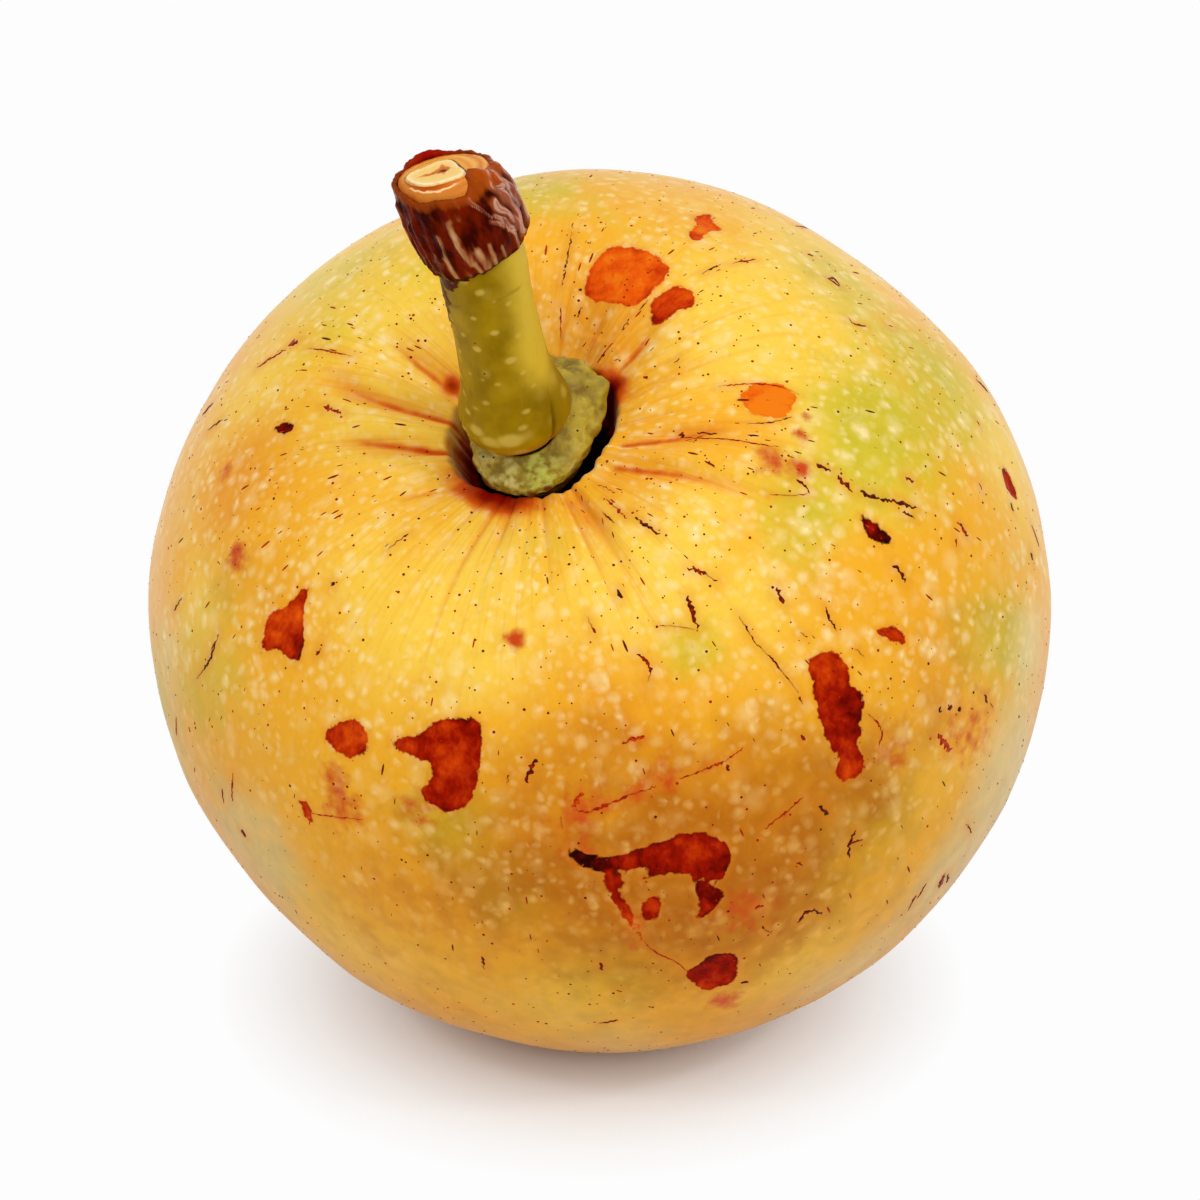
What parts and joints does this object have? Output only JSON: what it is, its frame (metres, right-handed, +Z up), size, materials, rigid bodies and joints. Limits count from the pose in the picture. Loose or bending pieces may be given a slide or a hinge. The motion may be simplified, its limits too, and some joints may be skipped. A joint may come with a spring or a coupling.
{
  "type": "pond apple fruit with stalk",
  "caption": "Round pond apple fruit with a funnel-shaped stem end, a knobbly calyx collar and a short cut stalk wrapped in dry bark.",
  "frame": {"origin": "centre of the flat spot that the fruit rests on", "axes": "+Z up from the ground; the stem end leans towards -Y and a little towards -X; +X to the right seen from the stem end"},
  "size_m": [0.0899, 0.0873, 0.0984],
  "materials": {
    "skin": "smooth thin fruit rind with a soft gloss, golden yellow with green and cream patches, corky specks and dried scars",
    "calyx": "warty green-grey plant tissue, dull with small shiny bumps",
    "green_stalk": "smooth olive-green young bark with pale oval lenticels, and pale cut wood at its end",
    "dry_bark": "dry wrinkled dark red-brown bark with shiny folds and tan ribs"
  },
  "bodies": {
    "root": {"fruit": "skin", "calyx_collar": "calyx", "stalk": "green_stalk", "bark_sleeve": "dry_bark"}
  },
  "joints": []
}
